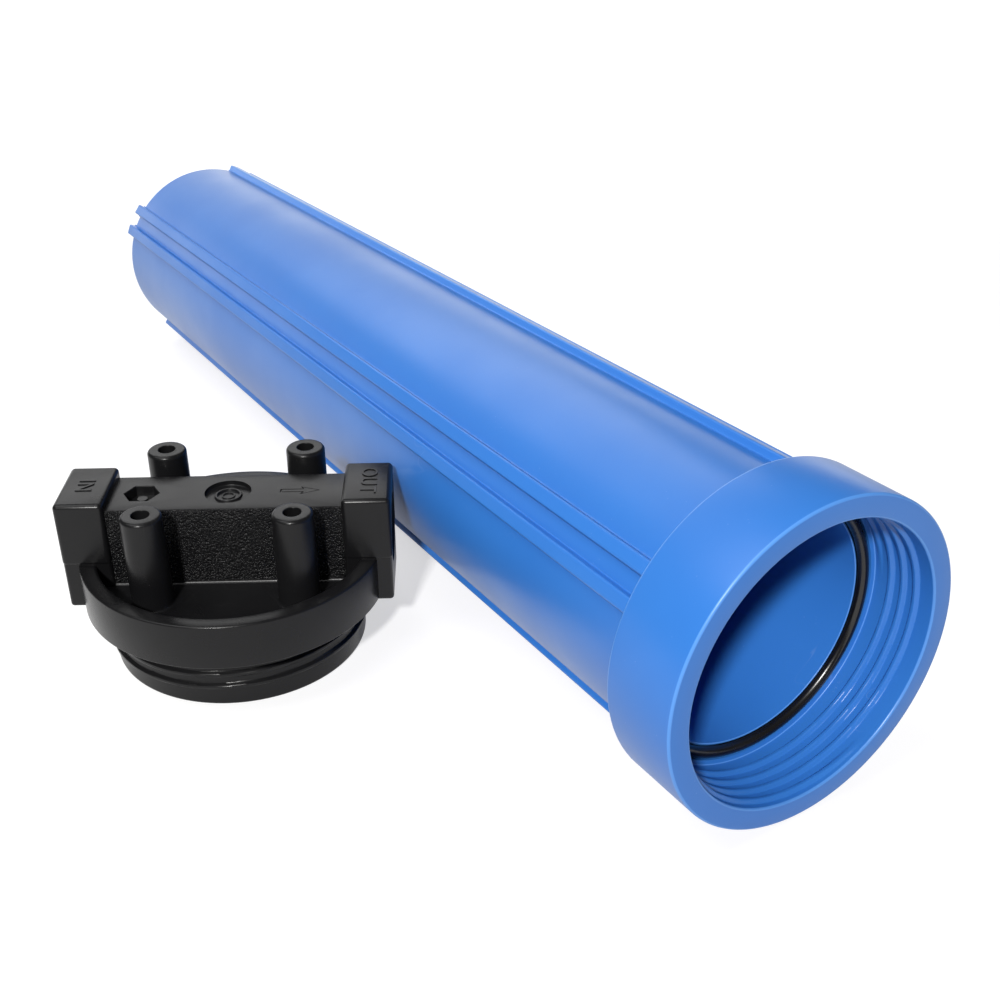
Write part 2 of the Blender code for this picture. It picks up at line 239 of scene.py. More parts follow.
def makeThreadTree():
    tree, given = newTree("helicalThread", (
        ("Pitch", "Float", 0.005), ("Height", "Float", 0.001), ("Turns", "Float", 3.0),
        ("Start Height", "Float", 0.0), ("Start Angle", "Float", 0.0), ("Run In", "Float", 0.1),
        ("Crest", "Float", 0.1), ("Root", "Float", 0.3), ("Material", "Material", None),
    ))
    position = addNode(tree, "GeometryNodeInputPosition").outputs[0]
    split = addNode(tree, "ShaderNodeSeparateXYZ", {0: position}).outputs
    angle = mathNode(tree, "ARCTAN2", split["Y"], split["X"])
    behind = mathNode(tree, "DIVIDE", mathNode(tree, "SUBTRACT", given["Start Angle"], angle), tau)
    fraction = mathNode(tree, "FRACT", behind)
    depth = mathNode(tree, "SUBTRACT", given["Start Height"], split["Z"])
    along = mathNode(tree, "SUBTRACT", mathNode(tree, "DIVIDE", depth, given["Pitch"]), fraction)
    turn = mathNode(tree, "ROUND", along)
    progress = mathNode(tree, "ADD", turn, fraction)
    offset = mathNode(tree, "ABSOLUTE", mathNode(tree, "SUBTRACT", along, turn))
    ridge = easeNode(tree, offset, given["Crest"], given["Root"], 1.0, 0.0)
    begin = easeNode(tree, progress, mathNode(tree, "MULTIPLY", given["Run In"], -1.0), 0.0)
    left = mathNode(tree, "SUBTRACT", given["Turns"], progress)
    end = easeNode(tree, left, 0.0, given["Run In"])
    reach = mathNode(tree, "MULTIPLY", mathNode(tree, "MULTIPLY", begin, end), ridge)
    reach = mathNode(tree, "MULTIPLY", reach, given["Height"])
    flat = addNode(tree, "ShaderNodeCombineXYZ", {"X": split["X"], "Y": split["Y"]}).outputs[0]
    spoke = addNode(tree, "ShaderNodeVectorMath", {0: flat}, operation="NORMALIZE").outputs[0]
    move = addNode(tree, "ShaderNodeVectorMath", {0: spoke, "Scale": reach}, operation="SCALE").outputs[0]
    band = addNode(tree, "GeometryNodeInputNamedAttribute", {"Name": "threadBand"}, data_type="FLOAT")
    chosen = addNode(tree, "FunctionNodeCompare", {0: band.outputs[0], 1: 0.5}, operation="GREATER_THAN")
    moved = addNode(tree, "GeometryNodeSetPosition", {
        "Geometry": given["Geometry"], "Selection": chosen.outputs[0], "Offset": move,
    }).outputs[0]
    closeTree(tree, moved, given["Material"])
    return tree


def makeRingTree():
    # pairs of copies of the incoming shape, turned round Z
    tree, given = newTree("pairsRoundAxis", (
        ("Pairs", "Int", 4), ("First Angle", "Float", 0.0), ("Half Spacing", "Float", 0.1),
        ("Material", "Material", None),
    ))
    count = mathNode(tree, "MULTIPLY", given["Pairs"], 2.0)
    points = addNode(tree, "GeometryNodePoints", {"Count": count}).outputs[0]
    index = addNode(tree, "GeometryNodeInputIndex").outputs[0]
    pair = mathNode(tree, "FLOOR", mathNode(tree, "DIVIDE", index, 2.0))
    odd = mathNode(tree, "MODULO", index, 2.0)
    side = mathNode(tree, "MULTIPLY_ADD", odd, 2.0, -1.0)
    step = mathNode(tree, "DIVIDE", tau, given["Pairs"])
    angle = mathNode(tree, "MULTIPLY_ADD", pair, step, given["First Angle"])
    angle = mathNode(tree, "MULTIPLY_ADD", side, given["Half Spacing"], angle)
    turn = addNode(tree, "ShaderNodeCombineXYZ", {"Z": angle}).outputs[0]
    copies = addNode(tree, "GeometryNodeInstanceOnPoints", {
        "Points": points, "Instance": given["Geometry"], "Rotation": turn,
    }).outputs[0]
    closeTree(tree, copies, given["Material"])
    return tree


def makeCornerTree():
    # copies of the incoming shape on the four corners of a rectangle
    tree, given = newTree("cornersOfRectangle", (
        ("Along", "Float", 0.05), ("Across", "Float", 0.05), ("Material", "Material", None),
    ))
    corners = addNode(tree, "GeometryNodeMeshGrid", {
        "Size X": given["Along"], "Size Y": given["Across"], "Vertices X": 2, "Vertices Y": 2,
    }).outputs[0]
    copies = addNode(tree, "GeometryNodeInstanceOnPoints", {
        "Points": corners, "Instance": given["Geometry"],
    }).outputs[0]
    closeTree(tree, copies, given["Material"])
    return tree


def grow(piece, tree, values):
    # runs a tree on a piece with its inputs set by their identifiers, and keeps the plain mesh
    modifier = piece.modifiers.new(tree.name, "NODES")
    modifier.node_group = tree
    sockets = {item.name: item.identifier for item in tree.interface.items_tree if item.in_out == "INPUT"}
    for label, value in values.items():
        modifier[sockets[label]] = value
    return toMesh(piece)


threadTree = makeThreadTree()
ringTree = makeRingTree()
cornerTree = makeCornerTree()
print("trees ready")


def newGroup(name, inputs, outputs):
    group = bpy.data.node_groups.new(name, "ShaderNodeTree")
    for label, value in inputs:
        socket = group.interface.new_socket(label, in_out="INPUT", socket_type="NodeSocketFloat")
        socket.default_value = value
    for label in outputs:
        group.interface.new_socket(label, in_out="OUTPUT", socket_type="NodeSocketFloat")
    place = addNode(group, "ShaderNodeTexCoord").outputs["Object"]
    return group, addNode(group, "NodeGroupInput").outputs, place


def noise(group, place, scale, detail, output=0, roughness=0.5):
    values = {"Vector": place, "Scale": scale, "Detail": detail, "Roughness": roughness}
    return addNode(group, "ShaderNodeTexNoise", values).outputs[output]


def makeMouldedSkin():
    # the faint ripple and fine pitting of an injection moulded face
    group, given, place = newGroup("mouldedSkin", (("Ripple Size", 40.0), ("Pit Size", 1400.0)),
                                   ("Height", "Gloss Change"))
    ripple = noise(group, place, given["Ripple Size"], 2.0, roughness=0.45)
    pits = noise(group, place, given["Pit Size"], 2.0, roughness=0.6)
    height = mathNode(group, "MULTIPLY_ADD", pits, 0.25, mathNode(group, "MULTIPLY", ripple, 0.75))
    cloudSize = mathNode(group, "MULTIPLY", given["Ripple Size"], 0.4)
    cloud = noise(group, place, cloudSize, 4.0, roughness=0.55)
    addNode(group, "NodeGroupOutput", {"Height": height, "Gloss Change": easeNode(group, cloud, 0.3, 0.7)})
    return group


def makeHandling():
    # hairline scuffs and stray dust from handling, as two masks
    group, given, place = newGroup(
        "handling", (("Scuff Size", 60.0), ("Dust Size", 500.0)), ("Scuffs", "Dust"))
    bent = noise(group, place, 9.0, 2.0, "Color")
    pulled = addNode(group, "ShaderNodeVectorMath", {0: bent, 1: (0.35, 0.35, 0.35)}, operation="MULTIPLY")
    path = addNode(group, "ShaderNodeVectorMath", {0: place, 1: pulled.outputs[0]}, operation="ADD")
    lines = noise(group, path.outputs[0], given["Scuff Size"], 1.0)
    near = mathNode(group, "ABSOLUTE", mathNode(group, "SUBTRACT", lines, 0.5))
    hair = easeNode(group, near, 0.0, 0.006, 1.0, 0.0)
    patch = noise(group, place, 22.0, 3.0)
    scuffs = mathNode(group, "MULTIPLY", hair, easeNode(group, patch, 0.56, 0.72))
    specks = addNode(group, "ShaderNodeTexVoronoi", {
        "Vector": place, "Scale": given["Dust Size"], "Randomness": 1.0}).outputs["Distance"]
    grains = easeNode(group, specks, 0.06, 0.12, 1.0, 0.0)
    sparse = noise(group, place, 120.0, 1.0)
    dust = mathNode(group, "MULTIPLY", grains, easeNode(group, sparse, 0.58, 0.66))
    addNode(group, "NodeGroupOutput", {"Scuffs": scuffs, "Dust": dust})
    return group


def makeSparkGrain():
    # coarse spark-eroded grain: rounded grains with pits between them
    group, given, place = newGroup("sparkGrain", (("Grain Size", 900.0),), ("Height", "Mask"))
    bent = noise(group, place, given["Grain Size"], 3.0, roughness=0.6)
    cells = addNode(group, "ShaderNodeTexVoronoi", {
        "Vector": place, "Scale": given["Grain Size"], "Randomness": 1.0,
        "Smoothness": 0.4}, feature="SMOOTH_F1").outputs["Distance"]
    height = mathNode(group, "MULTIPLY_ADD", bent, 0.6, mathNode(group, "MULTIPLY", cells, -0.7))
    addNode(group, "NodeGroupOutput", {"Height": height, "Mask": easeNode(group, cells, 0.1, 0.6)})
    return group


mouldedSkin = makeMouldedSkin()
handling = makeHandling()
sparkGrain = makeSparkGrain()


def shaderOf(name):
    material = bpy.data.materials.new(name)
    material.use_nodes = True
    tree = material.node_tree
    return material, tree, tree.nodes["Principled BSDF"]


def placeGroup(tree, group, values):
    node = addNode(tree, "ShaderNodeGroup", None, node_tree=group)
    for label, value in values.items():
        node.inputs[label].default_value = value
    return node.outputs


def mixColour(tree, share, first, second):
    node = addNode(tree, "ShaderNodeMix", None, data_type="RGBA")
    for socket, value in ((node.inputs[0], share), (node.inputs[6], first), (node.inputs[7], second)):
        if isinstance(value, bpy.types.NodeSocket):
            tree.links.new(value, socket)
        elif isinstance(value, tuple):
            socket.default_value = (*value, 1.0)
        else:
            socket.default_value = value
    return node.outputs[2]


def bumpFrom(tree, height, strength, distance, under=None):
    node = addNode(tree, "ShaderNodeBump", {"Height": height, "Strength": strength, "Distance": distance})
    if under is not None:
        tree.links.new(under, node.inputs["Normal"])
    return node.outputs[0]


def surfaceOf(tree, look):
    # the skin and the handling marks of a material, at the sizes of its look
    skin = placeGroup(tree, mouldedSkin, {"Ripple Size": look["rippleSize"], "Pit Size": look["pitSize"]})
    worn = placeGroup(tree, handling, {"Scuff Size": look["scuffSize"], "Dust Size": look["dustSize"]})
    return skin, worn


def glossFrom(tree, skin, look):
    low, high = look["roughness"]
    return mathNode(tree, "MULTIPLY_ADD", skin["Gloss Change"], high - low, low)


def skinBump(tree, skin, look):
    return bumpFrom(tree, skin["Height"], look["bumpStrength"], look["bumpDistance"])


bluePlasticLook = {
    "colour": (0.036, 0.194, 0.620),
    "deeper": (0.031, 0.180, 0.595),
    # the paler blue on rounded edge rows is a painted highlight, not the plastic's own colour
    "edge": (0.130, 0.360, 0.850), "edgeHighlightShare": 0.6,
    "dust": (0.26, 0.42, 0.78), "dustShare": 0.22,
    # darker blue seen only by bounced light, a painted shade for the bore
    "shadedBounce": (0.001, 0.030, 0.420),
    "roughness": (0.31, 0.38), "scuffRoughness": 0.12, "ior": 1.49,
    "rippleSize": 35.0, "pitSize": 1500.0, "scuffSize": 26.0, "dustSize": 420.0,
    "bumpStrength": 0.25, "bumpDistance": 0.00025,
}


def makeBluePlastic():
    look = bluePlasticLook
    material, tree, shader = shaderOf("bluePolypropylene")
    skin, worn = surfaceOf(tree, look)
    # rounded edge rows are mixed toward a paler blue: a painted highlight along the edges
    edge = addNode(tree, "ShaderNodeAttribute", None, attribute_name="edgeRow").outputs["Fac"]
    colour = mixColour(tree, skin["Gloss Change"], look["colour"], look["deeper"])
    colour = mixColour(tree, mathNode(tree, "MULTIPLY", edge, look["edgeHighlightShare"]), colour, look["edge"])
    marks = mathNode(tree, "MAXIMUM", worn["Scuffs"], worn["Dust"])
    colour = mixColour(tree, mathNode(tree, "MULTIPLY", marks, look["dustShare"]), colour, look["dust"])
    # bounced light sees a much darker blue than the camera does: painted shade that keeps the bore dark
    shadedBounce = addNode(tree, "ShaderNodeLightPath").outputs["Is Diffuse Ray"]
    tree.links.new(mixColour(tree, shadedBounce, colour, look["shadedBounce"]), shader.inputs["Base Color"])
    gloss = glossFrom(tree, skin, look)
    gloss = mathNode(tree, "MULTIPLY_ADD", worn["Scuffs"], look["scuffRoughness"], gloss)
    tree.links.new(gloss, shader.inputs["Roughness"])
    tree.links.new(skinBump(tree, skin, look), shader.inputs["Normal"])
    shader.inputs["IOR"].default_value = look["ior"]
    return material


blackPlasticLook = {
    "colour": (0.0060, 0.0060, 0.0066),
    "lighter": (0.0085, 0.0085, 0.0092),
    "dust": (0.12, 0.12, 0.12), "dustShare": 0.18,
    "roughness": (0.26, 0.34), "ior": 1.50, "specular": 0.24,
    "rippleSize": 60.0, "pitSize": 1900.0, "scuffSize": 40.0, "dustSize": 520.0,
    "bumpStrength": 0.35, "bumpDistance": 0.00025,
    "grainSize": 1300.0, "grainStrength": 1.0, "grainDistance": 0.0011, "grainGloss": -0.08,
}


def makeBlackPlastic():
    look = blackPlasticLook
    material, tree, shader = shaderOf("blackPolypropylene")
    skin, worn = surfaceOf(tree, look)
    colour = mixColour(tree, skin["Gloss Change"], look["colour"], look["lighter"])
    marks = mathNode(tree, "MAXIMUM", worn["Scuffs"], worn["Dust"])
    colour = mixColour(tree, mathNode(tree, "MULTIPLY", marks, look["dustShare"]), colour, look["dust"])
    tree.links.new(colour, shader.inputs["Base Color"])
    mask = addNode(tree, "ShaderNodeAttribute", None, attribute_name="grained").outputs["Fac"]
    grain = placeGroup(tree, sparkGrain, {"Grain Size": look["grainSize"]})
    height = mathNode(tree, "MULTIPLY", grain["Height"], mask)
    smooth = skinBump(tree, skin, look)
    normal = bumpFrom(tree, height, look["grainStrength"], look["grainDistance"], smooth)
    tree.links.new(normal, shader.inputs["Normal"])
    grains = mathNode(tree, "MULTIPLY", mask, grain["Mask"])
    gloss = mathNode(tree, "MULTIPLY_ADD", grains, look["grainGloss"], glossFrom(tree, skin, look))
    tree.links.new(gloss, shader.inputs["Roughness"])
    shader.inputs["IOR"].default_value = look["ior"]
    shader.inputs["Specular IOR Level"].default_value = look["specular"]
    return material


sealRubberLook = {
    "colour": (0.0050, 0.0050, 0.0055),
    "lighter": (0.0085, 0.0085, 0.0090),
    "dust": (0.10, 0.11, 0.13), "dustShare": 0.12,
    "roughness": (0.20, 0.30), "ior": 1.52,
    "rippleSize": 90.0, "pitSize": 2200.0, "scuffSize": 50.0, "dustSize": 600.0,
    "bumpStrength": 0.30, "bumpDistance": 0.00020,
}


def makeSealRubber():
    look = sealRubberLook
    material, tree, shader = shaderOf("sealRubber")
    skin, worn = surfaceOf(tree, look)
    colour = mixColour(tree, skin["Gloss Change"], look["colour"], look["lighter"])
    dust = mathNode(tree, "MULTIPLY", worn["Dust"], look["dustShare"])
    tree.links.new(mixColour(tree, dust, colour, look["dust"]), shader.inputs["Base Color"])
    tree.links.new(glossFrom(tree, skin, look), shader.inputs["Roughness"])
    tree.links.new(skinBump(tree, skin, look), shader.inputs["Normal"])
    shader.inputs["IOR"].default_value = look["ior"]
    return material


bluePlastic = makeBluePlastic()
blackPlastic = makeBlackPlastic()
sealRubber = makeSealRubber()
print("materials ready")


sumpSizes = {
    "sides": 360,
    "length": 0.513,
    "collarRadius": 0.0590, "collarLength": 0.0303,
    "bodyAtCollar": 0.0505, "bodyAtEnd": 0.0490,
    "endEdge": 0.0030, "collarFillet": 0.0015, "collarEdge": 0.0012, "rimEdge": 0.0009, "mouthEdge": 0.0008,
    "mouthRadius": 0.0509, "seatDepth": 0.0296, "seatRadius": 0.0493, "seatStep": 0.0042,
    "lipHeight": 0.0018, "lipWall": 0.0007, "boreAtMouth": 0.0440, "boreAtEnd": 0.0432,
    "endThickness": 0.0065, "endRound": 0.0050, "endRecess": 0.0352, "recessDepth": 0.0012,
    "gateRadius": 0.0016, "gateHeight": 0.0008,
    "centringFoot": 0.0187, "centringOuter": 0.0170, "centringInner": 0.0145, "centringFloor": 0.0130,
    "centringHeight": 0.0100, "smallEdge": 0.0003,
    "sealRadius": 0.0469, "sealSection": 0.0021, "sealGap": 0.0003,
    "sealSides": 192, "sealSectionSides": 40, "partingTurn": 0.6, "partingRise": 0.018, "partingWidth": 0.12,
    "ribPairs": 4, "ribAngle": 31.0, "ribHalfSpacing": 7.0,
    "ribHeight": 0.0032, "ribWidth": 0.0055, "ribCorner": 0.0009, "ribRoot": 0.0006, "ribEnd": 0.0010,
    "ribCrown": 0.00015, "ribIntoWall": 0.0014, "ribIntoCollar": 0.0020, "ribEndTaper": 0.5,
    "pitch": 0.0053, "threadHeight": 0.0013, "threadTurns": 3.75,
    "threadStart": -0.0036, "threadStartAngle": 272.0,
    "threadRunIn": 0.10, "threadCrest": 0.07, "threadRoot": 0.30, "threadRowStep": 0.00026,
}


def sumpProfile():
    s = sumpSizes
    end, back = -s["length"], -s["collarLength"]
    floor = end + s["endThickness"]
    seat = -s["seatDepth"]
    small = s["smallEdge"]
    recess, gate = end + s["recessDepth"], end + s["recessDepth"] - s["gateHeight"]
    lip, lipOuter = seat + s["lipHeight"], s["boreAtMouth"] + s["lipWall"]
    hub = floor + s["centringHeight"]
    corners = [
        (gate, s["gateRadius"], 0.0), (gate, s["gateRadius"] + 0.0012, small),
        (recess, s["gateRadius"] + 0.0018, small),
        (recess, s["endRecess"] - s["recessDepth"], 0.0005), (end, s["endRecess"], 0.0004),
        (end, s["bodyAtEnd"], s["endEdge"]),
        (back, s["bodyAtCollar"], s["collarFillet"]), (back, s["collarRadius"], s["collarEdge"]),
        (0.0, s["collarRadius"], s["rimEdge"]), (0.0, s["mouthRadius"], s["mouthEdge"]),
        (seat + s["seatStep"], s["mouthRadius"], 0.0004),
        (seat + s["seatStep"] - 0.0004, s["seatRadius"], 0.0),
        (seat, s["seatRadius"], small), (seat, lipOuter, small),
        (lip, lipOuter, small), (lip, s["boreAtMouth"], small),
        (floor, s["boreAtEnd"], s["endRound"]), (floor, s["centringFoot"], 0.0010),
        (hub, s["centringOuter"], 0.0005), (hub, s["centringInner"], 0.0005),
        (floor, s["centringFloor"], 0.0010), (floor, 0.0010, 0.0),
    ]
    top, bottom = -s["rimEdge"], seat + s["seatStep"] + small
    return finerBand(roundedProfile(corners), s["mouthRadius"], top, bottom, s["threadRowStep"])


def arcPoints(centre, radius, first, last, steps):
    # points of an arc between two angles in degrees
    turns = [radians(first + (last - first) * step / steps) for step in range(steps + 1)]
    return [(centre[0] + radius * cos(turn), centre[1] + radius * sin(turn)) for turn in turns]


def makeRib():
    # one long rib along Z at +X, with rounded shoulders, flared where it meets the wall
    s = sumpSizes
    half, height, corner = s["ribWidth"] / 2, s["ribHeight"], s["ribCorner"]
    root, endRound = s["ribRoot"], s["ribEnd"]
    side = [(-s["ribIntoWall"], -half - root)]
    side += arcPoints((root, -half - root), root, 180, 90, 4)
    side += arcPoints((height - corner, -half + corner), corner, 270, 360, 6)
    side += [(height + s["ribCrown"] * 2 / 3, -half / 2)]
    outline = side + [(height + s["ribCrown"], 0.0)] + [(up, -wide) for up, wide in reversed(side)]
    far, near = -s["length"], -s["collarLength"] + s["ribIntoCollar"]
    stations = [(far + away, -drop) for away, drop in arcPoints((endRound, 0.0), endRound, 180, 90, 5)]
    stations = [(z, endRound + drop) for z, drop in stations] + [(near, 0.0)]
    shape = bmesh.new()
    loops = []
    for z, short in stations:
        share = (z - far) / (near - far)
        wall = s["bodyAtEnd"] + (s["bodyAtCollar"] - s["bodyAtEnd"]) * share
        slim = 1 - s["ribEndTaper"] * short / half
        loop = []
        for up, wide in outline:
            lift = min(up, height - short) if up > root else up
            loop.append(shape.verts.new((wall + lift, wide * slim, z)))
        loops.append(loop)
    for here, there in zip(loops, loops[1:]):
        for step in range(len(outline)):
            after = (step + 1) % len(outline)
            shape.faces.new((here[step], here[after], there[after], there[step]))
    shape.faces.new(loops[0])
    shape.faces.new(loops[-1])
    return fromBmesh("sumpRibs", shape)


def makeSump():
    s = sumpSizes
    shell = turned("sumpShell", sumpProfile(), s["sides"])
    shell = grow(shell, threadTree, {
        "Pitch": s["pitch"], "Height": -s["threadHeight"], "Turns": s["threadTurns"],
        "Start Height": s["threadStart"], "Start Angle": radians(s["threadStartAngle"]),
        "Run In": s["threadRunIn"], "Crest": s["threadCrest"], "Root": s["threadRoot"],
        "Material": bluePlastic,
    })
    ribs = grow(makeRib(), ringTree, {
        "Pairs": s["ribPairs"], "First Angle": pi - radians(s["ribAngle"]),
        "Half Spacing": radians(s["ribHalfSpacing"]), "Material": bluePlastic,
    })
    shell = combine(shell, ribs, "UNION")
    return finishPiece(shell, sumpPlace, bluePlastic)


def makeSeal():
    # round section with the fine parting line of its mould
    s = sumpSizes
    shape = bmesh.new()
    around, section, radius = s["sealSides"], s["sealSectionSides"], s["sealSection"]
    middle = -s["seatDepth"] + radius + s["sealGap"]
    loops = []
    for step in range(around):
        angle = tau * step / around
        loop = []
        for part in range(section):
            turn = tau * part / section
            fromParting = abs(sin(turn - s["partingTurn"])) / s["partingWidth"]
            reach = radius * (1 + s["partingRise"] * max(0.0, 1 - fromParting))
            wide = s["sealRadius"] + reach * cos(turn)
            loop.append(shape.verts.new((wide * cos(angle), wide * sin(angle), middle + reach * sin(turn))))
        loops.append(loop)
    for here, there in zip(loops, loops[1:] + loops[:1]):
        for part in range(section):
            after = (part + 1) % section
            shape.faces.new((here[part], there[part], there[after], here[after]))
    ring = fromBmesh("sealRing", shape)
    return finishPiece(ring, sumpPlace, sealRubber, 60)


sumpShell = makeSump()
sealRing = makeSeal()
print("sump and seal made", len(sumpShell.data.polygons), len(sealRing.data.polygons))


headSizes = {
    "sides": 240,
    "flangeRadius": 0.0580, "flangeTop": 0.0410, "flangeBottom": 0.0230,
    "dishRadius": 0.0516, "dishFloor": 0.0310,
    "dishFillet": 0.0020, "dishEdge": 0.0014, "flangeEdge": 0.0008, "flangeUnderEdge": 0.0005,
    "neckRadius": 0.0489, "neckEdge": 0.0010, "hollowRadius": 0.0430, "hollowCeiling": 0.0255,
    "standpipeRadius": 0.0165, "standpipeBore": 0.0080, "standpipeEnd": 0.0090,
    "standpipeEdge": 0.0018, "standpipeLip": 0.0035, "funnelDepth": 0.0060,
    "pitch": 0.0053, "threadHeight": 0.0013, "threadTurns": 2.3,
    "threadStart": 0.0187, "threadStartAngle": 229.0, "threadRunIn": 0.10,
    "threadCrest": 0.08, "threadRoot": 0.30, "threadRowStep": 0.0003,
    "threadBandTop": 0.0218, "threadBandBottom": 0.0012,
    "portToPort": 0.1240, "blockWidth": 0.0183, "blockDepth": 0.0310,
    "blockTop": 0.0667, "blockBottom": 0.0222, "blockEdge": 0.0018,
    "blockIntoFlange": 0.0004, "legInset": 0.0004, "legEndInset": 0.0002, "legIntoBlock": 0.0060,
    "portHeight": 0.0465, "portBore": 0.0126, "portBoreDepth": 0.0190, "passage": 0.0085,
    "portClear": 0.0030, "portFlare": 0.0022, "portLead": 0.0012, "portSides": 96,
    "pipePitch": 0.0018, "pipeThread": 0.0007, "pipeTurns": 8.5, "pipeStart": -0.0022,
    "pipeRunIn": 0.3, "pipeCrest": 0.10, "pipeRoot": 0.42, "pipeBandTop": -0.0014, "pipeRowStep": 0.00022,
    "waySides": 64, "dropClear": 0.0050, "cutOverlap": 0.0010,
    "dropHole": 0.0065, "dropOffset": 0.0300,
    "barDepth": 0.0274, "barTop": 0.0630, "barEdge": 0.0010, "barFoot": 0.0012, "barIntoBlock": 0.0030,
    "intoFloor": 0.0020, "skinOverlap": 0.0001,
    "bossAlong": 0.0544, "bossAcross": 0.0516, "bossRadius": 0.0078, "bossTop": 0.0684,
    "bossHole": 0.0033, "bossHoleDepth": 0.0180, "bossFoot": 0.0016, "bossEdge": 0.0014,
    "hexOffset": 0.0325, "hexRadius": 0.0066, "hexDepth": 0.0040, "hexButton": 0.0019,
    "hexButtonHeight": 0.0018, "hexLead": 0.0003, "hexFlare": 1.30, "hexDraft": 0.97,
    "dialRadius": 0.0088, "dialDepth": 0.0020, "cutAbove": 0.0015,
    # outer radius, inner radius, height and edge slope of each ring in the round recess
    "dialRings": ((0.0052, 0.0040, 0.0009, 0.0002), (0.0026, 0.0019, 0.0005, 0.0001)),
    "arrowStart": 0.0200, "arrowNeck": 0.0285, "arrowTip": 0.0345, "arrowLine": 0.00045,
    "arrowHalf": 0.0010, "arrowWing": 0.0026, "arrowBarb": 0.0008, "arrowSink": 0.00002,
    # how far from its ends, inside and outside its plane, and how steeply a side of the bar is grained
    "grainMargin": 0.0015, "grainInside": 0.0011, "grainOutside": 0.0004, "grainFacing": 0.2,
    "letterSize": 0.0088, "letterSpacing": 1.12, "letterRise": 0.00030, "letterEdge": 0.00008,
    "letterThinning": -0.00004, "letterShift": 0.0004,
}


def makeHeadBody():
    h = headSizes
    edge, lip = h["neckEdge"], h["standpipeBore"] + h["standpipeLip"]
    funnel = h["standpipeEnd"] + h["funnelDepth"]
    corners = [
        (h["dishFloor"], 0.0010, 0.0), (h["dishFloor"], h["dishRadius"], h["dishFillet"]),
        (h["flangeTop"], h["dishRadius"], h["dishEdge"]),
        (h["flangeTop"], h["flangeRadius"], h["flangeEdge"]),
        (h["flangeBottom"], h["flangeRadius"], h["flangeUnderEdge"]),
        (h["flangeBottom"], h["neckRadius"], h["flangeEdge"]),
        (0.0, h["neckRadius"], edge), (0.0, h["hollowRadius"], edge),
        (h["hollowCeiling"], h["hollowRadius"], 0.0020), (h["hollowCeiling"], h["standpipeRadius"], 0.0015),
        (h["standpipeEnd"], h["standpipeRadius"], h["standpipeEdge"]), (h["standpipeEnd"], lip, 0.0008),
        (funnel, lip - 0.0015, 0.0), (funnel, 0.0010, 0.0),
    ]
    top, bottom = h["threadBandTop"], h["threadBandBottom"]
    points = finerBand(roundedProfile(corners), h["neckRadius"], top, bottom, h["threadRowStep"])
    body = turned("headBody", points, h["sides"])
    return grow(body, threadTree, {
        "Pitch": h["pitch"], "Height": h["threadHeight"], "Turns": h["threadTurns"],
        "Start Height": h["threadStart"], "Start Angle": radians(h["threadStartAngle"]),
        "Run In": h["threadRunIn"], "Crest": h["threadCrest"], "Root": h["threadRoot"],
        "Material": blackPlastic,
    })


def lofted(name, levels):
    # a closed shape through outlines of the same length, each at its height
    shape = bmesh.new()
    loops = [[shape.verts.new((x, y, z)) for x, y in outline] for z, outline in levels]
    for here, there in zip(loops, loops[1:]):
        for step in range(len(here)):
            after = (step + 1) % len(here)
            shape.faces.new((here[step], here[after], there[after], there[step]))
    shape.faces.new(loops[0])
    shape.faces.new(loops[-1])
    return fromBmesh(name, shape)


def barOutline(wider):
    # plan of the bar, which runs into the two port blocks
    h = headSizes
    reach, side = h["portToPort"] / 2 - h["blockWidth"] + h["barIntoBlock"], h["barDepth"] / 2 + wider
    return [(reach, side), (-reach, side), (-reach, -side), (reach, -side)]


def makeBar():
    h = headSizes
    foot, edge = h["barFoot"], h["barEdge"]
    floor = h["dishFloor"] - h["skinOverlap"]
    turns = [pi / 2 * step / 4 for step in range(5)]
    levels = [(h["dishFloor"] - h["intoFloor"], barOutline(foot))]
    for turn in turns:
        levels.append((floor + foot * (1 - cos(turn)), barOutline(foot * (1 - sin(turn)))))
    for turn in turns:
        levels.append((h["barTop"] - edge * (1 - sin(turn)), barOutline(-edge * (1 - cos(turn)))))
    return lofted("bar", levels)


def roundedBlock(name, low, high, edge):
    shape = bmesh.new()
    bmesh.ops.create_cube(shape, size=1.0)
    size = Vector(high) - Vector(low)
    bmesh.ops.scale(shape, vec=size, verts=shape.verts)
    bmesh.ops.translate(shape, vec=(Vector(low) + Vector(high)) / 2, verts=shape.verts)
    bmesh.ops.bevel(shape, geom=shape.edges[:], offset=edge, segments=6, profile=0.5, affect="EDGES")
    return fromBmesh(name, shape)


def makeBosses():
    h = headSizes
    base, floor = h["dishFloor"] - h["intoFloor"], h["dishFloor"] - h["skinOverlap"]
    foot, bottom = h["bossRadius"] + h["bossFoot"], h["bossTop"] - h["bossHoleDepth"]
    corners = [
        (base, 0.0010, 0.0), (base, foot, 0.0), (floor, foot, 0.0), (floor, h["bossRadius"], 0.0012),
        (h["bossTop"], h["bossRadius"] - 0.0002, h["bossEdge"]), (h["bossTop"], h["bossHole"], 0.0003),
        (bottom, h["bossHole"], 0.0004), (bottom, 0.0008, 0.0),
    ]
    boss = turned("bosses", roundedProfile(corners, 6), 64)
    return grow(boss, cornerTree, {
        "Along": h["bossAlong"], "Across": h["bossAcross"], "Material": blackPlastic,
    })


def rod(name, start, end, radius, sides):
    start, end = Vector(start), Vector(end)
    turn = upright.rotation_difference(end - start).to_matrix().to_4x4()
    shape = bmesh.new()
    bmesh.ops.create_cone(
        shape, cap_ends=True, segments=sides, radius1=radius, radius2=radius,
        depth=(end - start).length, matrix=Matrix.Translation((start + end) / 2) @ turn,
    )
    return fromBmesh(name, shape)


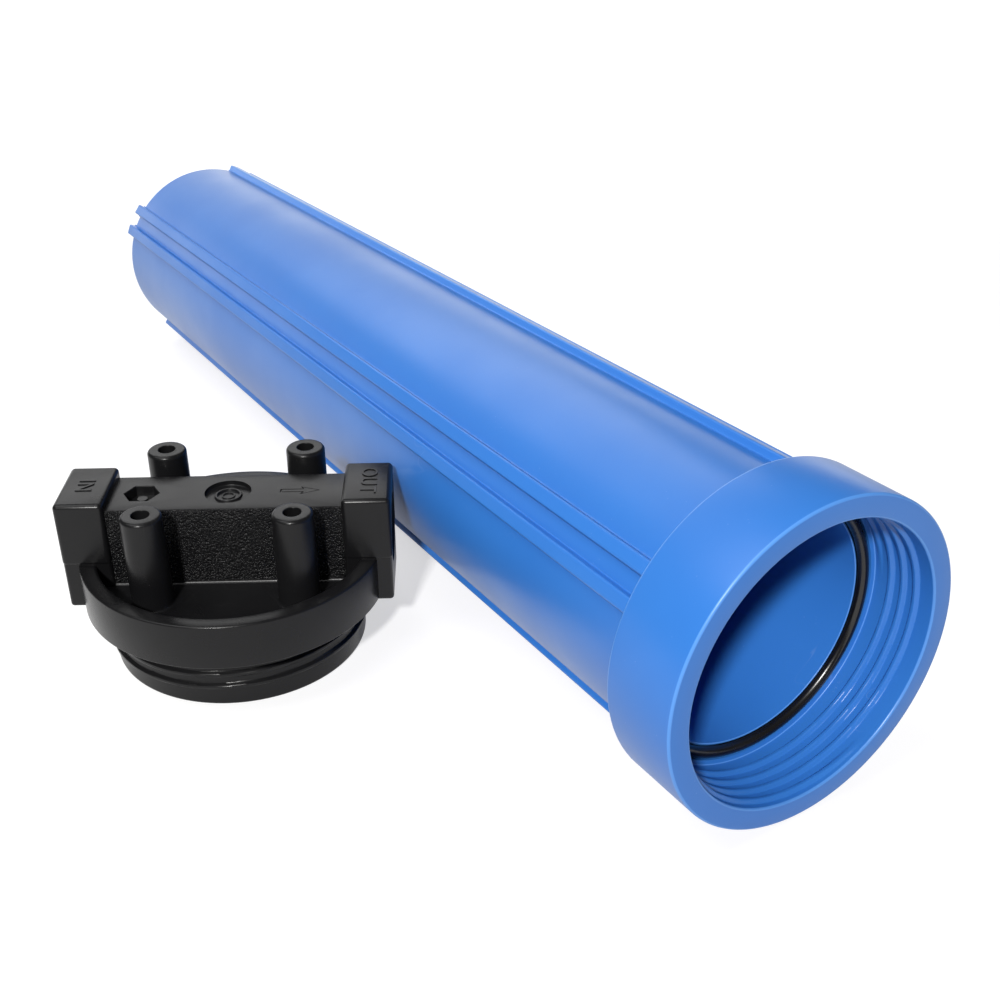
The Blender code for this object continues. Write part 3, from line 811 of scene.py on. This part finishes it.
def makePortCutter(side):
    # the socket with its pipe thread, a chamfered way in and a flat bottom, along the port's axis
    h = headSizes
    depth, bore = h["portBoreDepth"], h["portBore"]
    clear, lead = h["portClear"], h["portLead"]
    corners = [
        (clear, 0.0010, 0.0), (clear, bore + h["portFlare"], 0.0), (0.0, bore + lead, 0.0),
        (-lead, bore + 0.0002, 0.0002), (-depth, bore - 0.0004, 0.0010), (-depth, 0.0010, 0.0),
    ]
    points = finerBand(roundedProfile(corners), bore, h["pipeBandTop"], lead - depth, h["pipeRowStep"])
    cutter = turned("portCutter", points, h["portSides"])
    cutter = grow(cutter, threadTree, {
        "Pitch": h["pipePitch"], "Height": h["pipeThread"], "Turns": h["pipeTurns"],
        "Start Height": h["pipeStart"], "Start Angle": 0.0,
        "Run In": h["pipeRunIn"], "Crest": h["pipeCrest"], "Root": h["pipeRoot"],
        "Material": blackPlastic,
    })
    outward = Vector((side, 0, 0))
    across = Vector((0, 1, 0))
    cutter.data.transform(placeOf(
        Vector((side * h["portToPort"] / 2, 0, h["portHeight"])), across, outward.cross(across), outward))
    return cutter


def makeDialCutter():
    # round recess with two plain raised rings on its floor
    h = headSizes
    top, floor = h["barTop"] + h["cutAbove"], h["barTop"] - h["dialDepth"]
    corners = [(top, 0.0010, 0.0), (top, h["dialRadius"], 0.0), (floor, h["dialRadius"], 0.0004)]
    for outer, inner, height, slope in h["dialRings"]:
        rise = floor + height
        corners += [(floor, outer, slope), (rise, outer - slope, slope)]
        corners += [(rise, inner + slope, slope), (floor, inner, slope)]
    corners.append((floor, 0.0006, 0.0))
    return turned("dialCutter", roundedProfile(corners, 3), 96)


def makeHexCutter():
    h = headSizes
    radius, middle = h["hexRadius"], -h["hexOffset"]
    corners = [(radius * cos(tau * step / 6), radius * sin(tau * step / 6)) for step in range(6)]

    def outline(factor):
        return [(x * factor + middle, y * factor) for x, y in corners]

    top, floor = h["barTop"], h["barTop"] - h["hexDepth"]
    levels = [
        (top + h["cutAbove"], outline(h["hexFlare"])), (top - h["hexLead"], outline(1.0)),
        (floor, outline(h["hexDraft"])),
    ]
    pocket = lofted("hexCutter", levels)
    foot, crown = (middle, 0.0, floor - h["cutOverlap"]), (middle, 0.0, floor + h["hexButtonHeight"])
    button = rod("hexButton", foot, crown, h["hexButton"], 24)
    return combine(pocket, button, "DIFFERENCE")


def makeArrowCutter():
    # an outlined arrow cut as a fine round groove
    h = headSizes
    start, neck, half, wing = h["arrowStart"], h["arrowNeck"], h["arrowHalf"], h["arrowWing"]
    barb = neck - h["arrowBarb"]
    outline = [
        (start, half), (neck, half), (barb, wing), (h["arrowTip"], 0.0),
        (barb, -wing), (neck, -half), (start, -half),
    ]
    curve = bpy.data.curves.new("arrowCutter", "CURVE")
    curve.dimensions = "3D"
    spline = curve.splines.new("POLY")
    spline.points.add(len(outline) - 1)
    for point, (x, y) in zip(spline.points, outline):
        point.co = (x, y, h["barTop"] - h["arrowSink"], 1.0)
    spline.use_cyclic_u = True
    curve.bevel_depth = h["arrowLine"]
    curve.bevel_resolution = 1
    groove = bpy.data.objects.new("arrowCutter", curve)
    bpy.context.scene.collection.objects.link(groove)
    return toMesh(groove)


def makeLabel(word, centre):
    # a raised word that reads from the rear to the front
    h = headSizes
    curve = bpy.data.curves.new("label" + word, "FONT")
    curve.body = word
    curve.size = h["letterSize"]
    curve.space_character = h["letterSpacing"]
    curve.align_x, curve.align_y = "CENTER", "CENTER"
    curve.extrude = h["letterRise"]
    curve.bevel_depth = h["letterEdge"]
    curve.offset = h["letterThinning"]
    text = bpy.data.objects.new("portWord" + word.title(), curve)
    bpy.context.scene.collection.objects.link(text)
    piece = toMesh(text)
    piece.data.transform(placeOf(Vector(centre), Vector((0, -1, 0)), Vector((1, 0, 0)), upright))
    return piece


def markGrain(piece):
    # the two long sides of the bar carry the coarse grain
    h = headSizes
    reach = h["portToPort"] / 2 - h["blockWidth"] - h["grainMargin"]
    side = h["barDepth"] / 2
    near, far, foot = side - h["grainInside"], side + h["grainOutside"], h["dishFloor"] + h["barFoot"]
    mesh = piece.data
    grained = mesh.attributes.new("grained", "FLOAT", "FACE")
    for face in mesh.polygons:
        x, y, z = face.center
        onSide = near < abs(y) < far and abs(face.normal.y) > h["grainFacing"]
        grained.data[face.index].value = 1.0 if onSide and abs(x) < reach and z > foot else 0.0


def makeHead():
    h = headSizes
    half, reach = h["portToPort"] / 2, h["portToPort"] / 2 - h["blockWidth"]
    deep = h["blockDepth"] / 2
    shell = makeHeadBody()
    shell = combine(shell, makeBar(), "UNION")
    for side in (-1, 1):
        ends = sorted((side * half, side * reach))
        low, high = (ends[0], -deep, h["flangeTop"] - h["blockIntoFlange"]), (ends[1], deep, h["blockTop"])
        shell = combine(shell, roundedBlock("portBlock", low, high, h["blockEdge"]), "UNION")
        ends = sorted((side * (half - h["legEndInset"]), side * reach))
        low = (ends[0], h["legInset"] - deep, h["blockBottom"])
        high = (ends[1], deep - h["legInset"], h["flangeTop"] + h["legIntoBlock"])
        leg = roundedBlock("portLeg", low, high, h["blockEdge"] - h["legInset"])
        shell = combine(shell, leg, "UNION")
    shell = combine(shell, makeBosses(), "UNION")
    for side in (-1, 1):
        shell = combine(shell, makePortCutter(side), "DIFFERENCE")
    over = h["cutOverlap"]
    middle, inner = h["portHeight"], half - h["portBoreDepth"] + over
    drop = -h["dropOffset"]
    ways = [
        ((-inner, 0, middle), (drop + over, 0, middle), h["passage"]),
        ((inner, 0, middle), (-over, 0, middle), h["passage"]),
        ((drop, 0, middle + over), (drop, 0, h["hollowCeiling"] - h["dropClear"]), h["dropHole"]),
        ((0, 0, middle + over), (0, 0, h["standpipeEnd"]), h["standpipeBore"]),
    ]
    for start, end, radius in ways:
        shell = combine(shell, rod("way", start, end, radius, h["waySides"]), "DIFFERENCE")
    for cutter in (makeDialCutter(), makeHexCutter(), makeArrowCutter()):
        shell = combine(shell, cutter, "DIFFERENCE")
    shell.name = "headShell"
    markGrain(shell)
    return finishPiece(shell, headPlace, blackPlastic)


def makeLabels():
    h = headSizes
    middle = h["portToPort"] / 2 - h["blockWidth"] / 2
    words = []
    for word, side in (("IN", -1), ("OUT", 1)):
        label = makeLabel(word, (side * (middle + h["letterShift"]), 0.0, h["blockTop"]))
        words.append(finishPiece(label, headPlace, blackPlastic))
    return words


headShell = makeHead()
portWords = makeLabels()
print("head made", len(headShell.data.polygons))


lightPlan = {
    "world": 0.08,
    # place, what it looks at, width, height, watts, colour
    "key": ((-1.05, -1.235, 1.255), (0.04, -0.15, 0.05), 0.14, 0.14, 39.0, (1.0, 0.99, 0.97)),
    "top": ((-0.50, 0.10, 1.30), (0.00, 0.00, 0.05), 0.90, 0.90, 8.0, (1.0, 1.0, 1.0)),
    "backPanel": ((0.35, 1.20, 0.85), (0.00, 0.00, 0.05), 1.20, 0.50, 4.4, (1.0, 1.0, 1.0)),
    "horizon": ((0.60, 1.50, 0.20), (0.00, 0.00, 0.05), 3.20, 0.40, 6.8, (1.0, 1.0, 1.0)),
    "floorSeen": 0.50, "floorGlossy": 0.70, "floorBounce": 0.42, "floorGlow": 0.60, "glossyGlow": 0.34,
    "floorSize": 6.0, "fadeStart": 0.45, "fadeEnd": 1.30, "floorRoughness": 0.9, "floorSpecular": 0.2,
}


def rayKind(tree, label):
    return addNode(tree, "ShaderNodeLightPath").outputs[label]


def makeFloor():
    # pale to look at, but it throws back less light than it shows, as a studio table does
    shape = bmesh.new()
    bmesh.ops.create_grid(shape, x_segments=1, y_segments=1, size=lightPlan["floorSize"])
    mesh = bpy.data.meshes.new("floor")
    shape.to_mesh(mesh)
    shape.free()
    floor = bpy.data.objects.new("floor", mesh)
    bpy.context.scene.collection.objects.link(floor)
    material, tree, shader = shaderOf("paleFloor")
    seen = rayKind(tree, "Is Camera Ray")
    mirrored = rayKind(tree, "Is Glossy Ray")
    plain = mixColour(tree, mirrored, (lightPlan["floorBounce"],) * 3, (lightPlan["floorGlossy"],) * 3)
    plain = mixColour(tree, seen, plain, (lightPlan["floorSeen"],) * 3)
    tree.links.new(plain, shader.inputs["Base Color"])
    shader.inputs["Emission Color"].default_value = (1.0, 1.0, 1.0, 1.0)
    # away from the part the floor brightens until it meets the white beyond it
    place = addNode(tree, "ShaderNodeTexCoord").outputs["Object"]
    away = addNode(tree, "ShaderNodeVectorMath", {0: place}, operation="LENGTH").outputs["Value"]
    fade = easeNode(tree, away, lightPlan["fadeStart"], lightPlan["fadeEnd"], lightPlan["floorGlow"], 1.0)
    glow = mathNode(tree, "MULTIPLY", seen, fade)
    glow = mathNode(tree, "MULTIPLY_ADD", mirrored, lightPlan["glossyGlow"], glow)
    tree.links.new(glow, shader.inputs["Emission Strength"])
    shader.inputs["Roughness"].default_value = lightPlan["floorRoughness"]
    shader.inputs["Specular IOR Level"].default_value = lightPlan["floorSpecular"]
    mesh.materials.append(material)
    return floor


def makeLights():
    world = bpy.data.worlds.new("studio")
    world.use_nodes = True
    tree = world.node_tree
    background = tree.nodes["Background"]
    background.inputs["Color"].default_value = (1.0, 1.0, 1.0, 1.0)
    low = lightPlan["world"]
    strength = mathNode(tree, "MULTIPLY_ADD", rayKind(tree, "Is Camera Ray"), 1.0 - low, low)
    tree.links.new(strength, background.inputs["Strength"])
    bpy.context.scene.world = world
    for name in ("key", "top", "backPanel", "horizon"):
        place, target, width, height, watts, colour = lightPlan[name]
        data = bpy.data.lights.new(name, "AREA")
        data.shape = "RECTANGLE"
        data.size, data.size_y = width, height
        data.energy = watts
        data.color = colour
        lamp = bpy.data.objects.new(name, data)
        lamp.location = place
        aim = Vector(target) - Vector(place)
        lamp.rotation_euler = aim.to_track_quat("-Z", "Y").to_euler()
        bpy.context.scene.collection.objects.link(lamp)


floor = makeFloor()
makeLights()
bpy.context.scene.view_settings.view_transform = "Standard"
print("stage ready")


for piece, body, slot in (
    (sumpShell, "sump", "blue_polypropylene"),
    (sealRing, "o_ring", "black_rubber"),
    (headShell, "head", "black_polypropylene"),
    (portWords[0], "head", "black_polypropylene"),
    (portWords[1], "head", "black_polypropylene"),
):
    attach(piece, body)
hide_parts("sump")
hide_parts("o_ring")
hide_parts("head")
